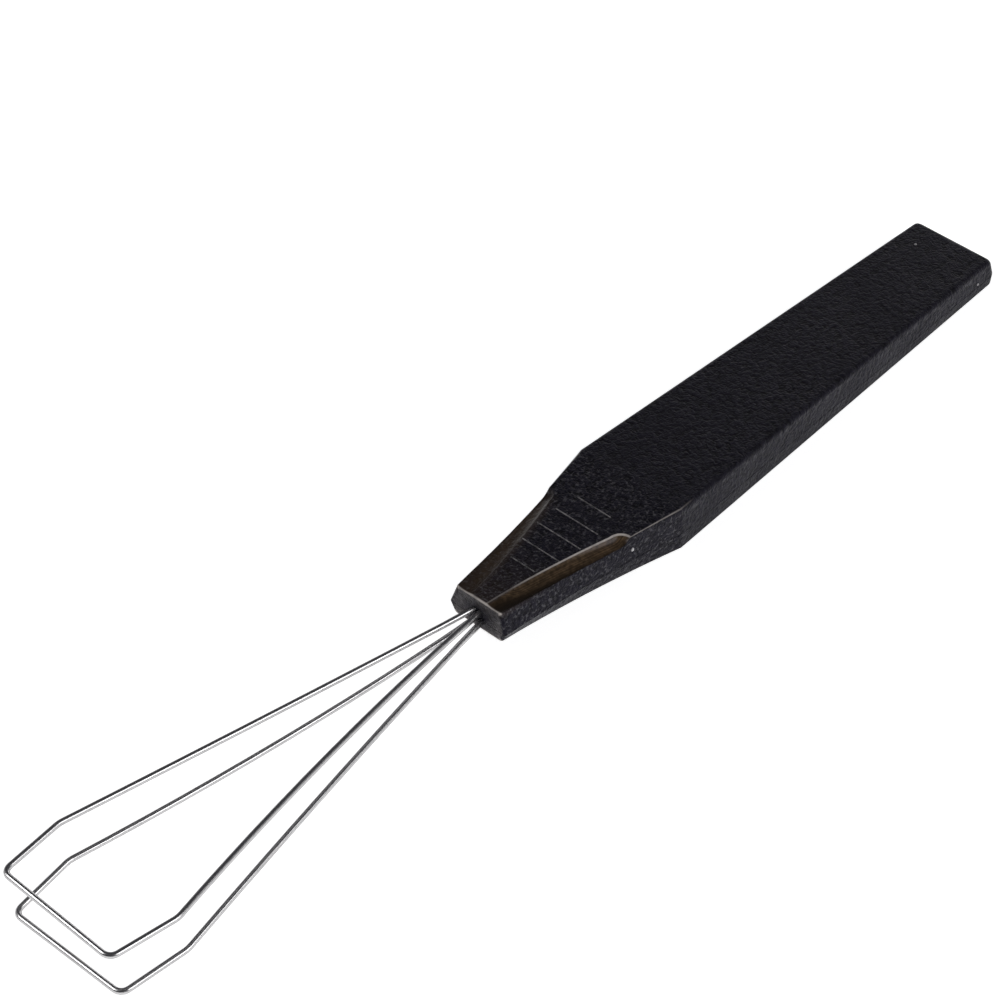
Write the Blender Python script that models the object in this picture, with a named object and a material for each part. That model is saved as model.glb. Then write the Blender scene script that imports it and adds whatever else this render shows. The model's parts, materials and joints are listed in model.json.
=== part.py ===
"""Wire keycap puller: a moulded two-part handle that clamps two sprung wire loops.

The tool is designed along its own axis: +X runs from the mouth of the nose to the butt,
the loops reach out along -X, and heights are measured from the axis. A parent empty then
lays it on the lower flat of the handle, so that the flat is at height zero, and slides it
along X so that the origin is halfway between the bars of the loops and the butt.
"""
import math

import bmesh
import bpy
from mathutils import Matrix, Vector

MM = 0.001

# Handle; the heights of its flat faces are at the front, the shoulder and the butt
HANDLE_LENGTH = 86.0 * MM
NOSE_LENGTH = 25.2 * MM
FRONT_HALF_WIDTH = 3.3 * MM
SHOULDER_HALF_WIDTH = 7.55 * MM
BUTT_HALF_WIDTH = 5.7 * MM
NOSE_SIDE_SAG = 0.4 * MM
TOP_HEIGHTS = (2.05 * MM, 2.9 * MM, 1.65 * MM)
UNDERSIDE_HEIGHTS = (-2.05 * MM, -3.05 * MM, -2.05 * MM)
FRONT_DRAFT = 0.85 * MM
BODY_DRAFT = 0.3 * MM
SEAM_HEIGHT = -0.65 * MM
SEAM_GAP = 0.2 * MM
EDGE_RADIUS = 0.8 * MM
EDGE_SEGMENTS = 3
NOSE_STATIONS = 8

# Scoops in the top of the nose
SCOOP_REAR = (16.6 * MM, 6.05 * MM)
SCOOP_FRONT = (-1.0 * MM, 1.95 * MM)
SCOOP_REAR_RADIUS = 1.9 * MM
SCOOP_FRONT_RADIUS = 4.2 * MM
SCOOP_REAR_DEPTH = 0.85 * MM
SCOOP_FRONT_DEPTH = 0.12 * MM

# Cross ribs on the tongue between the scoops: distance from the front, half length
RIB_SPACING = 2.97 * MM
FIRST_RIB = 7.1 * MM
RIB_HALF_LENGTHS = (1.9 * MM, 2.55 * MM, 3.25 * MM, 3.1 * MM, 2.0 * MM)
RIB_HEIGHT = 0.1 * MM
RIB_WIDTH = 0.16 * MM
RIB_ROOT = 0.3 * MM

# Inside of the handle
FIT_GAP = 0.3 * MM
ANCHOR_POCKET = (7.3 * MM, 10.6 * MM, 3.2 * MM)
PIN_STATIONS = (19.5 * MM, 76.0 * MM)
PIN_RADIUS = 1.0 * MM
PIN_TOP = 0.4 * MM
CORE_COUNT = 3
CORE_START = 29.0 * MM
CORE_LENGTH = 12.0 * MM
CORE_WALL = 2.0 * MM
CORE_HALF_WIDTH = 4.2 * MM
CORE_TOP = 0.55 * MM

# Wire loops
WIRE_DIAMETER = 0.7 * MM
LEG_SPREAD = 0.5 * MM
KNEE_REACH = 52.55 * MM
KNEE_HALF_WIDTH = 8.98 * MM
KNEE_RADIUS = 3.0 * MM
BAR_REACH = 60.82 * MM
BAR_HALF_WIDTH = 8.03 * MM
BAR_RADIUS = 1.1 * MM
HINGE_GAP = 0.3 * MM
TAIL_DEPTH = 8.9 * MM
TAIL_HOOK = 2.3 * MM
TAIL_RADIUS = 0.9 * MM
ARC_STEPS = 5

# Each loop leaves the mouth at its own height and angle: name, sideways and height of the
# exit, turn about X, Y and Z in degrees, inward bow of the far and of the near leg
LOOPS = (
    ("upper", 0.13 * MM, 0.28 * MM, (0.62, 1.11, -0.87), 0.1 * MM, 0.86 * MM),
    ("lower", -0.19 * MM, -0.72 * MM, (-1.96, -2.9, -0.25), 0.89 * MM, 0.31 * MM),
)

BLACK_PLASTIC = ("black_plastic", (0.012, 0.012, 0.014, 1.0), 0.45, 0.0)
SPRING_STEEL = ("spring_steel", (0.62, 0.62, 0.64, 1.0), 0.22, 1.0)


def clear_scene():
    for item in list(bpy.data.objects):
        bpy.data.objects.remove(item, do_unlink=True)


def new_collection(name):
    group = bpy.data.collections.new(name)
    bpy.context.scene.collection.children.link(group)
    return group


def make_material(owner, finish):
    name, colour, roughness, metallic = finish
    material = bpy.data.materials.new(f"{owner}_{name}")
    material.use_nodes = True
    shader = material.node_tree.nodes["Principled BSDF"]
    shader.inputs["Base Color"].default_value = colour
    shader.inputs["Roughness"].default_value = roughness
    shader.inputs["Metallic"].default_value = metallic
    return material


def lerp(start, end, t):
    return start + (end - start) * t


def face_half_width(x):
    """Half width of the handle's flat faces, out to their sharp corners."""
    if x >= NOSE_LENGTH:
        return lerp(SHOULDER_HALF_WIDTH, BUTT_HALF_WIDTH, (x - NOSE_LENGTH) / (HANDLE_LENGTH - NOSE_LENGTH))
    t = x / NOSE_LENGTH
    return lerp(FRONT_HALF_WIDTH, SHOULDER_HALF_WIDTH, t) - 4 * NOSE_SIDE_SAG * t * (1 - t)


def face_height(x, side):
    front, shoulder, butt = TOP_HEIGHTS if side > 0 else UNDERSIDE_HEIGHTS
    if x >= NOSE_LENGTH:
        return lerp(shoulder, butt, (x - NOSE_LENGTH) / (HANDLE_LENGTH - NOSE_LENGTH))
    return lerp(front, shoulder, x / NOSE_LENGTH)


def seam_half_width(x):
    """Half width at the seam, where the drafted sides stand out the most."""
    return face_half_width(x) + lerp(FRONT_DRAFT, BODY_DRAFT, min(x / NOSE_LENGTH, 1.0))


def add_object(name, mesh, group, finish=None):
    item = bpy.data.objects.new(name, mesh)
    group.objects.link(item)
    if finish:
        mesh.materials.append(make_material(name, finish))
    return item


def mesh_from(name, work):
    bmesh.ops.recalc_face_normals(work, faces=work.faces)
    mesh = bpy.data.meshes.new(name)
    work.to_mesh(mesh)
    work.free()
    return mesh


def loft_half(name, side, group):
    """One half of the handle: sections from the front to the butt, bridged into one body."""
    work = bmesh.new()
    stations = [NOSE_LENGTH * i / NOSE_STATIONS for i in range(NOSE_STATIONS + 1)] + [HANDLE_LENGTH]
    seam = SEAM_HEIGHT + side * SEAM_GAP / 2
    rings = []
    for x in stations:
        outline = (
            (-seam_half_width(x), seam),
            (-face_half_width(x), face_height(x, side)),
            (face_half_width(x), face_height(x, side)),
            (seam_half_width(x), seam),
        )
        corners = [work.verts.new((x, y, z)) for y, z in outline]
        rings.append([work.edges.new((corners[i], corners[(i + 1) % 4])) for i in range(4)])
    for first, second in zip(rings, rings[1:]):
        bmesh.ops.bridge_loops(work, edges=first + second)
    bmesh.ops.edgeloop_fill(work, edges=rings[0])
    bmesh.ops.edgeloop_fill(work, edges=rings[-1])
    seam_level = seam + side * 0.01 * MM
    outer = [edge for edge in work.edges if all((v.co.z - seam_level) * side > 0 for v in edge.verts)]
    long_edges = [edge for edge in outer if abs(edge.verts[0].co.x - edge.verts[1].co.x) > MM]
    butt_edges = [edge for edge in outer if all(v.co.x > HANDLE_LENGTH - MM for v in edge.verts)]
    butt_posts = [
        edge for edge in work.edges
        if all(v.co.x > HANDLE_LENGTH - MM for v in edge.verts) and edge.verts[0].co.z != edge.verts[1].co.z
    ]
    bmesh.ops.bevel(
        work,
        geom=long_edges + butt_edges + butt_posts,
        offset=EDGE_RADIUS,
        offset_type="OFFSET",
        segments=EDGE_SEGMENTS,
        profile=0.5,
        affect="EDGES",
        clamp_overlap=True,
    )
    return add_object(name, mesh_from(name, work), group, BLACK_PLASTIC)


def box_cutter(name, low, high, group):
    work = bmesh.new()
    bmesh.ops.create_cube(work, size=1.0)
    low, high = Vector(low), Vector(high)
    bmesh.ops.scale(work, vec=high - low, verts=work.verts)
    bmesh.ops.translate(work, vec=(low + high) / 2, verts=work.verts)
    return add_cutter(name, mesh_from(name, work), group)


def round_cutter(name, radius, low, high, x, group):
    work = bmesh.new()
    bmesh.ops.create_cone(work, cap_ends=True, segments=24, radius1=radius, radius2=radius, depth=high - low)
    bmesh.ops.translate(work, vec=(x, 0, (low + high) / 2), verts=work.verts)
    return add_cutter(name, mesh_from(name, work), group)


def add_cutter(name, mesh, group):
    cutter = add_object(name, mesh, group)
    cutter.hide_render = True
    cutter.display_type = "WIRE"
    return cutter


def scoop_cutter(name, width_side, group):
    """A ball-ended gouge that runs out, shallower and wider, through the front of the nose."""
    ends = []
    for (x, y), radius, depth in (
        (SCOOP_REAR, SCOOP_REAR_RADIUS, SCOOP_REAR_DEPTH),
        (SCOOP_FRONT, SCOOP_FRONT_RADIUS, SCOOP_FRONT_DEPTH),
    ):
        ends.append(Vector((x, width_side * y, face_height(x, 1) + radius - depth)))
    work = bmesh.new()
    for centre, radius in zip(ends, (SCOOP_REAR_RADIUS, SCOOP_FRONT_RADIUS)):
        place = Matrix.Translation(centre) @ (ends[1] - ends[0]).to_track_quat("Z", "Y").to_matrix().to_4x4()
        bmesh.ops.create_uvsphere(work, u_segments=32, v_segments=16, radius=radius, matrix=place)
    bmesh.ops.delete(work, geom=work.edges[:] + work.faces[:], context="EDGES_FACES")
    bmesh.ops.convex_hull(work, input=work.verts)
    bmesh.ops.delete(work, geom=[vert for vert in work.verts if not vert.link_faces], context="VERTS")
    return add_cutter(name, mesh_from(name, work), group)


def use_cutter(item, cutter, operation="DIFFERENCE"):
    change = item.modifiers.new(cutter.name, "BOOLEAN")
    change.operation = operation
    change.solver = "EXACT"
    change.object = cutter


def rib_mesh(name, x, half_length, side, group):
    foot = face_height(x, side) - side * RIB_ROOT
    crest = face_height(x, side) + side * RIB_HEIGHT
    low = (x - RIB_WIDTH / 2, -half_length, min(foot, crest))
    high = (x + RIB_WIDTH / 2, half_length, max(foot, crest))
    return box_cutter(name, low, high, group)


def make_handle(parts, cutters):
    mouth_half_width = max(abs(loop[1]) for loop in LOOPS) + LEG_SPREAD + WIRE_DIAMETER / 2 + FIT_GAP
    heights = [loop[2] for loop in LOOPS]
    channel_low = min(heights) - WIRE_DIAMETER / 2 - FIT_GAP
    channel_high = max(heights) + WIRE_DIAMETER / 2 + FIT_GAP
    pocket_start, pocket_end, pocket_half_width = ANCHOR_POCKET
    channel = box_cutter(
        "wire_channel",
        (-MM, -mouth_half_width, channel_low),
        (pocket_end, mouth_half_width, channel_high),
        cutters,
    )
    pocket = box_cutter(
        "anchor_pocket",
        (pocket_start, -pocket_half_width, channel_low),
        (pocket_end, pocket_half_width, channel_high),
        cutters,
    )
    halves = []
    for name, side in (("handle_upper_half", 1), ("handle_lower_half", -1)):
        half = loft_half(name, side, parts)
        if side > 0:
            use_cutter(half, scoop_cutter("near_scoop", -1, cutters))
            use_cutter(half, scoop_cutter("far_scoop", 1, cutters))
        for number, half_length in enumerate(RIB_HALF_LENGTHS):
            x = FIRST_RIB + number * RIB_SPACING
            use_cutter(half, rib_mesh(f"{name}_rib_{number}", x, half_length, side, cutters), "UNION")
        use_cutter(half, channel)
        use_cutter(half, pocket)
        halves.append(half)
    upper, lower = halves
    for number, x in enumerate(PIN_STATIONS):
        pin = round_cutter(f"pin_{number}", PIN_RADIUS, SEAM_HEIGHT - MM * 0.5, PIN_TOP, x, cutters)
        use_cutter(lower, pin, "UNION")
        socket = round_cutter(
            f"socket_{number}", PIN_RADIUS + FIT_GAP, SEAM_HEIGHT - MM, PIN_TOP + FIT_GAP, x, cutters
        )
        use_cutter(upper, socket)
    for number in range(CORE_COUNT):
        start = CORE_START + number * (CORE_LENGTH + CORE_WALL)
        core = box_cutter(
            f"core_{number}",
            (start, -CORE_HALF_WIDTH, SEAM_HEIGHT - MM),
            (start + CORE_LENGTH, CORE_HALF_WIDTH, CORE_TOP),
            cutters,
        )
        use_cutter(upper, core)
    return halves


def rounded_path(corners, radii):
    """The points of a polyline whose inner corners are arcs of the given radii."""
    path = [Vector(corners[0])]
    for before, corner, after, radius in zip(corners, corners[1:], corners[2:], radii):
        corner = Vector(corner)
        inward = (Vector(before) - corner).normalized()
        outward = (Vector(after) - corner).normalized()
        half_angle = inward.angle(outward) / 2
        centre = corner + (inward + outward).normalized() * radius / math.sin(half_angle)
        start = (corner + inward * radius / math.tan(half_angle) - centre).normalized()
        end = (corner + outward * radius / math.tan(half_angle) - centre).normalized()
        for step in range(ARC_STEPS + 1):
            path.append(centre + radius * start.slerp(end, step / ARC_STEPS))
    path.append(Vector(corners[-1]))
    return path


def subdivided(path, longest):
    points = [path[0]]
    for start, end in zip(path, path[1:]):
        count = max(1, math.ceil((end - start).length / longest))
        points += [start.lerp(end, (i + 1) / count) for i in range(count)]
    return points


def make_wire(name, path, group):
    curve = bpy.data.curves.new(name, "CURVE")
    curve.dimensions = "3D"
    curve.bevel_depth = WIRE_DIAMETER / 2
    curve.bevel_resolution = 2
    curve.use_fill_caps = True
    spline = curve.splines.new("POLY")
    spline.points.add(len(path) - 1)
    for point, place in zip(spline.points, path):
        point.co = (*place, 1.0)
    return add_object(name, curve, group, SPRING_STEEL)


def loop_path(far_bow, near_bow):
    start = HINGE_GAP / 2
    slope = (KNEE_HALF_WIDTH - LEG_SPREAD) / KNEE_REACH
    half = [
        (-start, LEG_SPREAD + slope * start),
        (-KNEE_REACH, KNEE_HALF_WIDTH),
        (-BAR_REACH, BAR_HALF_WIDTH),
    ]
    corners = [(x, y, 0) for x, y in half] + [(x, -y, 0) for x, y in reversed(half)]
    path = subdivided(rounded_path(corners, (KNEE_RADIUS, BAR_RADIUS, BAR_RADIUS, KNEE_RADIUS)), 6 * MM)
    for point in path:
        t = min(-point.x / KNEE_REACH, 1.0)
        bow = far_bow if point.y > 0 else near_bow
        point.y -= math.copysign(4 * bow * t * (1 - t), point.y)
    return path


def make_loop(label, sideways, height, angles, bows, axis_empty, group):
    """A loop pivots where it leaves the mouth; its two tails stay clamped in the handle."""
    loop = make_wire(f"{label}_wire_loop", loop_path(*bows), group)
    loop.location = (0, sideways, height)
    loop.rotation_euler = [math.radians(angle) for angle in angles]
    loop.parent = axis_empty
    for end, side in (("far", 1), ("near", -1)):
        y = side * LEG_SPREAD
        hook_end = y + side * TAIL_HOOK - sideways
        corners = ((HINGE_GAP / 2, y, 0), (TAIL_DEPTH, y, 0), (TAIL_DEPTH, hook_end, 0))
        tail = make_wire(f"{label}_wire_tail_{end}", rounded_path(corners, (TAIL_RADIUS,)), group)
        tail.location = (0, sideways, height)
        tail.parent = axis_empty


def main():
    clear_scene()
    parts = new_collection("wire_keycap_puller")
    cutters = new_collection("cutters")
    axis_empty = bpy.data.objects.new("tool_axis", None)
    parts.objects.link(axis_empty)
    shoulder, butt = UNDERSIDE_HEIGHTS[1:]
    tilt = math.atan2(butt - shoulder, HANDLE_LENGTH - NOSE_LENGTH)
    lift = NOSE_LENGTH * math.sin(tilt) - shoulder * math.cos(tilt)
    axis_empty.rotation_euler = (0, tilt, 0)
    overall_middle = (HANDLE_LENGTH - BAR_REACH - WIRE_DIAMETER / 2) / 2
    axis_empty.location = (-overall_middle, 0, lift)
    for half in make_handle(parts, cutters):
        half.parent = axis_empty
    for cutter in cutters.objects:
        cutter.parent = axis_empty
    for label, sideways, height, angles, far_bow, near_bow in LOOPS:
        make_loop(label, sideways, height, angles, (far_bow, near_bow), axis_empty, parts)


main()
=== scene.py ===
"""Wire keycap puller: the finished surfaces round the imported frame, laid out as an add-on."""
import json
import math

import bmesh
import bpy
import numpy as np
from bpy.props import FloatProperty, FloatVectorProperty, IntProperty, PointerProperty
from mathutils import Matrix, Vector


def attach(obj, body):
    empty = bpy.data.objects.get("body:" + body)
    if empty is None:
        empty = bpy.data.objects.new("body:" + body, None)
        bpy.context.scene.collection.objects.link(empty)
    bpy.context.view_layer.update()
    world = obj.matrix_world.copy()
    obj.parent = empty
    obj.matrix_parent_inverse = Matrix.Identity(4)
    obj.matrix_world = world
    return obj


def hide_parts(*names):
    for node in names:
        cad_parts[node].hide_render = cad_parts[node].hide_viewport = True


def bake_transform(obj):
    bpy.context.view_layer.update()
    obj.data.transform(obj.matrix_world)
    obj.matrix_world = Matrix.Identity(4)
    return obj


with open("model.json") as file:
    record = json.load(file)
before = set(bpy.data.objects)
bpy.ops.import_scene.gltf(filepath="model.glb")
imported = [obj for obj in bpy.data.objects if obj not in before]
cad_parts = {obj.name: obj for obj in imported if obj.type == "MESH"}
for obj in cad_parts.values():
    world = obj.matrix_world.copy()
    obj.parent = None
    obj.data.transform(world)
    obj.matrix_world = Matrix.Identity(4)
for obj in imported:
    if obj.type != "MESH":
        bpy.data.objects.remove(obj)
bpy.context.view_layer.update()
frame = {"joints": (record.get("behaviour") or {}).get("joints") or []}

bl_info = {
    "name": "Wire Keycap Puller",
    "version": (1, 0, 0),
    "blender": (4, 5, 0),
    "location": "3D View > Sidebar > Puller",
    "description": "Builds a wire keycap puller: a moulded handle, its fine ribs and two sprung wires",
    "category": "Add Mesh",
}

MM = 0.001
JOINTS = {joint["child"]: joint for joint in frame["joints"]}


def length(name, description, default):
    """A length property; the default is given in millimetres."""
    return FloatProperty(name=name, description=description, default=default * MM, unit="LENGTH", precision=5)


def face_heights(name, description, *defaults):
    """Heights from the tool's axis at the front, the shoulder and the butt, given in millimetres."""
    default = [value * MM for value in defaults]
    return FloatVectorProperty(name=name, description=description, size=3, default=default, unit="LENGTH")


def colour(name, description, default):
    """A colour property."""
    return FloatVectorProperty(name=name, description=description, subtype="COLOR", default=default)


class HandleSizes(bpy.types.PropertyGroup):
    handle_length: length("Handle length", "From the front of the nose to the butt", 86.0)
    nose_length: length("Nose length", "From the front of the nose to the shoulder", 25.2)
    front_half_width: length("Front half width", "Half the width of the nose at its front", 3.3)
    shoulder_half_width: length("Shoulder half width", "Half the width at the shoulder", 7.55)
    butt_half_width: length("Butt half width", "Half the width at the butt", 5.7)
    nose_side_sag: length("Nose side sag", "How far the nose's sides curve in", 0.4)
    front_draft: length("Front draft", "How far the seam stands out at the front", 0.85)
    body_draft: length("Body draft", "How far the seam stands out behind the shoulder", 0.3)
    lower_flare: length("Lower flare", "How much wider the underside is than the top", 0.2)
    nose_end_draft: length("Nose end draft", "How far the seam stands out at the front face", 0.26)
    butt_end_draft: length("Butt end draft", "How far the seam stands out at the butt", 0.45)
    seam_height: length("Seam height", "Height of the seam from the tool's axis", -0.65)
    seam_gap: length("Seam gap", "Width of the fine groove between the halves", 0.07)
    top_heights: face_heights(
        "Top heights", "Top face at the front, the shoulder and the butt", 2.05, 2.9, 1.65
    )
    underside_heights: face_heights(
        "Underside heights", "Lower face at the front, the shoulder and the butt", -2.05, -3.05, -2.05
    )
    edge_radius: length("Edge radius", "Rounding of the top's long edges behind the shoulder", 0.6)
    lower_edge_radius: length("Lower edge radius", "Rounding of the underside's long edges", 0.25)
    nose_edge_radius: length("Nose edge radius", "Rounding of the long edges of the nose", 0.28)
    front_radius: length("Front radius", "Rounding of the front face's upper and lower edges", 0.16)
    front_corner: length("Front corner", "Rounding of the front's two upright corners", 0.3)
    butt_radius: length("Butt radius", "Rounding of the butt's top edge seen from the side", 1.0)
    lower_butt_radius: length("Lower butt radius", "Rounding of the butt's lower edge", 0.3)
    butt_corner: length("Butt corner", "Rounding of the butt seen from above", 1.0)


class ScoopSizes(bpy.types.PropertyGroup):
    rear_reach: length("Rear reach", "Centre of the scoop's round end, from the front", 16.6)
    rear_offset: length("Rear offset", "Centre of the round end, from the middle", 6.05)
    rear_radius: length("Rear radius", "Radius of the gouge at the round end", 1.9)
    rear_depth: length("Rear depth", "Depth of the gouge at the round end", 0.85)
    front_reach: length("Front reach", "Where the gouge has run out, from the front", -1.0)
    front_offset: length("Front offset", "Centre line of the gouge there", 1.95)
    front_radius: length("Front radius", "Radius of the gouge there", 4.2)
    front_depth: length("Front depth", "Depth of the gouge there", 0.12)
    edge_softness: length("Edge softness", "How far the gouge's edges are broken", 0.05)


class RibSizes(bpy.types.PropertyGroup):
    count: IntProperty(name="Ribs", description="Cross ribs on each face of the nose", default=5, min=1)
    first: length("First rib", "Distance of the first rib from the front", 7.1)
    spacing: length("Spacing", "Distance from rib to rib", 2.97)
    width: length("Width", "Width of a rib", 0.15)
    height: length("Height", "How far a rib stands proud", 0.07)
    longest: length("Longest", "Half length of the middle rib", 3.25)


class WireSizes(bpy.types.PropertyGroup):
    diameter: length("Wire diameter", "Thickness of the spring wire", 0.7)
    leg_spread: length("Leg spread", "Half the distance between two legs at the mouth", 0.38)
    knee_reach: length("Knee reach", "Distance of the knees from the mouth", 52.55)
    knee_half_width: length("Knee half width", "Half the distance between the knees", 8.98)
    knee_radius: length("Knee radius", "Bend radius of the knees", 3.0)
    bar_reach: length("Bar reach", "Distance of the bar from the mouth", 60.82)
    bar_half_width: length("Bar half width", "Half the length of the bar between its corners", 8.03)
    bar_radius: length("Bar radius", "Bend radius at the ends of the bar", 1.1)
    tail_depth: length("Tail depth", "How far the tails reach into the handle", 8.9)
    tail_hook: length("Tail hook", "Length of the bent end of a tail", 2.3)
    tail_radius: length("Tail radius", "Bend radius of the tails", 0.9)
    flex_length: length("Flex length", "Stretch of wire that takes the bend when a loop moves", 5.0)


class PipSizes(bpy.types.PropertyGroup):
    radius: length("Radius", "Radius of the pips on the sides of the nose", 0.24)
    height: length("Height", "How far a pip stands proud", 0.1)
    butt_share: FloatProperty(
        name="Butt share", description="Radius of the butt's pips, as a share of the others", default=0.65
    )


class Colours(bpy.types.PropertyGroup):
    plastic: colour("Plastic", "The black plastic", (0.0057, 0.0053, 0.0086))
    # The scoop colour is a painted brown reflection on the scoops' inner slopes; a much darker copy of it
    # tints their floors
    scoop: colour("Scoop", "The smooth plastic in the scoops", (0.085, 0.056, 0.033))
    # The edge highlight colour is painted highlight, for the pale lines on edges and the front face
    rubbed: colour("Rubbed", "Plastic rubbed pale on its edges", (0.42, 0.385, 0.36))
    # The glint colour is painted glints: pale specks on the grain
    glint: colour("Dust", "The pale specks on the grain", (0.45, 0.44, 0.47))
    steel: colour("Steel", "The bright spring wire", (0.54, 0.535, 0.54))
    floor: colour("Floor", "The studio floor", (0.9, 0.9, 0.9))


# ---------------------------------------------------------------- shader building


class Signal:
    """A shader socket that takes part in Python arithmetic by adding Math nodes."""

    def __init__(self, build, socket):
        self.build = build
        self.socket = socket

    def _join(self, operation, first, second):
        return self.build.node("ShaderNodeMath", {"operation": operation}, {0: first, 1: second})

    def __add__(self, other):
        return self._join("ADD", self, other)

    def __radd__(self, other):
        return self._join("ADD", other, self)

    def __sub__(self, other):
        return self._join("SUBTRACT", self, other)

    def __rsub__(self, other):
        return self._join("SUBTRACT", other, self)

    def __mul__(self, other):
        return self._join("MULTIPLY", self, other)

    def __rmul__(self, other):
        return self._join("MULTIPLY", other, self)


class MaterialBuild:
    """One material's node tree, with its Principled shader."""

    def __init__(self, name):
        self.material = bpy.data.materials.new(name)
        self.material.use_nodes = True
        self.tree = self.material.node_tree
        self.shader = self.tree.nodes["Principled BSDF"]

    def node(self, kind, settings=None, values=None, output=0):
        """Adds a node: its settings first, then the constants or links of its inputs."""
        made = self.tree.nodes.new(kind)
        for name, value in (settings or {}).items():
            if name == "stops":
                self._set_stops(made.color_ramp, value)
            else:
                setattr(made, name, value)
        for name, value in (values or {}).items():
            self.feed(made.inputs[name], value)
        return Signal(self, made.outputs[output])

    def _set_stops(self, ramp, stops):
        while len(ramp.elements) < len(stops):
            ramp.elements.new(0.5)
        for element, (position, level) in zip(ramp.elements, stops):
            element.position = position
            element.color = (level, level, level, 1.0)

    def feed(self, socket, value):
        """Links a signal to a socket, or sets the socket to a constant."""
        if isinstance(value, Signal):
            self.tree.links.new(value.socket, socket)
        elif hasattr(socket.default_value, "__len__") and not hasattr(value, "__len__"):
            socket.default_value = (value,) * len(socket.default_value)
        else:
            socket.default_value = value

    def place(self, scale=(1, 1, 1)):
        """Object coordinates, scaled."""
        coordinates = self.node("ShaderNodeTexCoord", output="Object")
        return self.node("ShaderNodeMapping", values={"Vector": coordinates, "Scale": scale})

    def noise(self, vector, scale, detail=2.0, distortion=0.0):
        values = {"Vector": vector, "Scale": scale, "Detail": detail, "Distortion": distortion}
        return self.node("ShaderNodeTexNoise", values=values)

    def pebbles(self, vector, scale):
        settings, values = {"feature": "SMOOTH_F1"}, {"Vector": vector, "Scale": scale}
        return self.node("ShaderNodeTexVoronoi", settings, values, output="Distance")

    def ramp(self, value, stops):
        return self.node("ShaderNodeValToRGB", {"stops": stops}, {"Fac": value})

    def span(self, value, low, high, new_low=0.0, new_high=1.0):
        """The value's place between low and high, from new_low to new_high and no further."""
        values = {"Value": value, "From Min": low, "From Max": high, "To Min": new_low, "To Max": new_high}
        return self.node("ShaderNodeMapRange", {"clamp": True}, values)

    def attribute(self, name):
        return self.node("ShaderNodeAttribute", {"attribute_name": name}, output="Fac")

    def mix(self, factor, first, second):
        made = self.tree.nodes.new("ShaderNodeMix")
        made.data_type = "RGBA"
        self.feed(made.inputs["Factor"], factor)
        for socket, value in ((made.inputs[6], first), (made.inputs[7], second)):
            self.feed(socket, value if isinstance(value, Signal) else (*value, 1.0))
        return Signal(self, made.outputs[2])

    def bump(self, height, strength, distance):
        values = {"Height": height, "Strength": strength, "Distance": distance}
        return self.node("ShaderNodeBump", values=values)

    def finish(self, **sockets):
        """Feeds the Principled shader, as Base_Color=..., Roughness=..., and gives back the material."""
        for name, value in sockets.items():
            self.feed(self.shader.inputs[name.replace("_", " ")], value)
        return self.material


def toned(base, share):
    """A colour made darker or lighter by a share."""
    return [level * share for level in base]


# How fine each pattern of a finish is, in features to the metre
PEBBLE_SCALE = 1500
WRINKLE_SCALE = 1700
PIT_SCALE = 5200
PATCH_SCALE = 150
SPECK_SCALE = 2500
FLECK_SCALE = 1250
MOTTLE_SCALE = 2100
HIGHLIGHT_BREAK_SCALE = 700
RIB_HIGHLIGHT_SCALE = 1400
WIRE_LINE_SCALE = 7000
WIRE_PATCH_SCALE = 260

GRAIN_DEPTH = 0.15 * MM
RIM_HALF_WIDTH_MM = 0.13


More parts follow.
